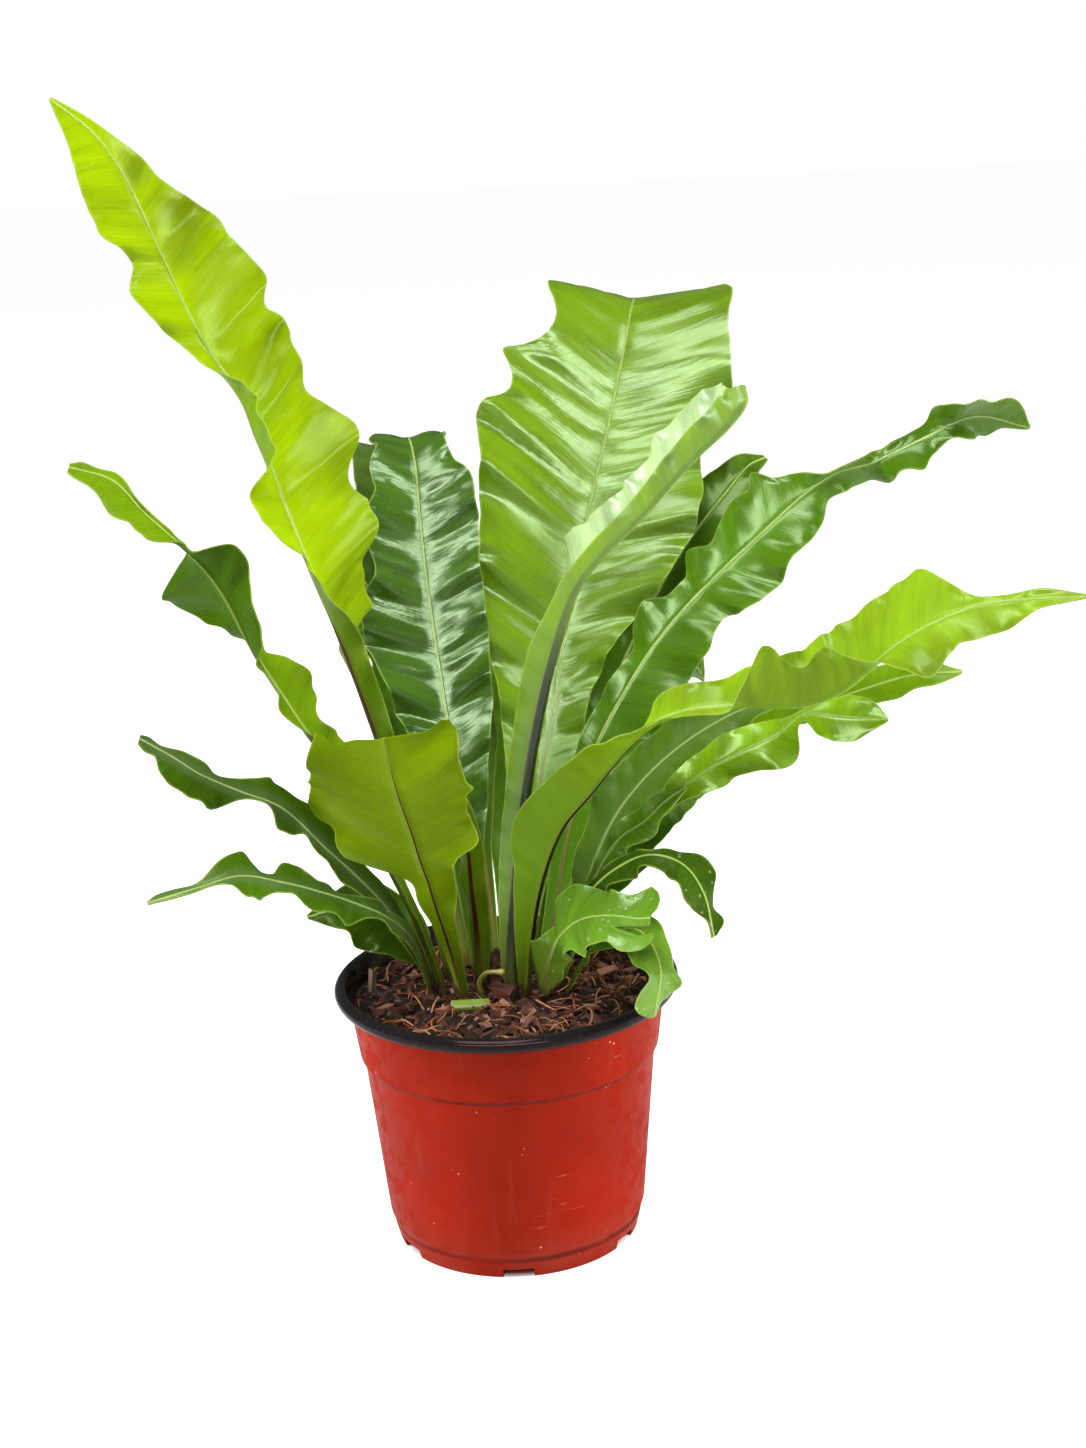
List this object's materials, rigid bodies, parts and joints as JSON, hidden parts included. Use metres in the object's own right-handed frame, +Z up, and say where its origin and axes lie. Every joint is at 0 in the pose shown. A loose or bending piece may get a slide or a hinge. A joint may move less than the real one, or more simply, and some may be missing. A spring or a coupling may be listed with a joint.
{
  "type": "potted fern",
  "caption": "Potted fern: a rosette of waved, glossy strap fronds rising from a scaly crown in potting mix, in a round stepped nursery pot with a rolled rim.",
  "frame": {"origin": "centre of the pot's flat underside", "axes": "+Z up through the pot; the plant faces -Y; the tall frond leans to -X"},
  "size_m": [0.4244, 0.3309, 0.5287],
  "materials": {
    "pot": "satin and scuffed, black inside and on the rim",
    "potting_mix": "moist bark and fibre",
    "crown": "dry scales",
    "young_stalk": "smooth",
    "cut_stalk": "smooth",
    "frond_yellow": "waxy gloss",
    "frond_olive": "satin",
    "frond_dark": "waxy gloss",
    "frond_green": "waxy gloss"
  },
  "bodies": {
    "root": {"pot": "pot", "potting_mix": "potting_mix", "crown": "crown", "frond_young": "young_stalk", "cut_stump": "cut_stalk", "frond_tall_left": "frond_yellow", "frond_thin_left": "frond_green", "frond_left_upper": "frond_dark", "frond_left_low": "frond_dark", "frond_left_hidden": "frond_dark", "frond_front": "frond_olive", "frond_front_inner": "frond_olive", "frond_centre_dark": "frond_dark", "frond_centre_behind": "frond_green", "frond_centre_big": "frond_green", "frond_rolled": "frond_yellow", "frond_black_rib": "frond_yellow", "frond_right_wide": "frond_green", "frond_right_behind": "frond_green", "frond_right_low": "frond_dark", "frond_right_chain": "frond_green", "frond_right_inner": "frond_green", "frond_right_small": "frond_green", "frond_right_droop": "frond_dark", "frond_forked": "frond_green", "frond_rim_droop": "frond_green", "frond_rear_left": "frond_green", "frond_rear_middle": "frond_green", "frond_rear_right": "frond_green"}
  },
  "joints": []
}
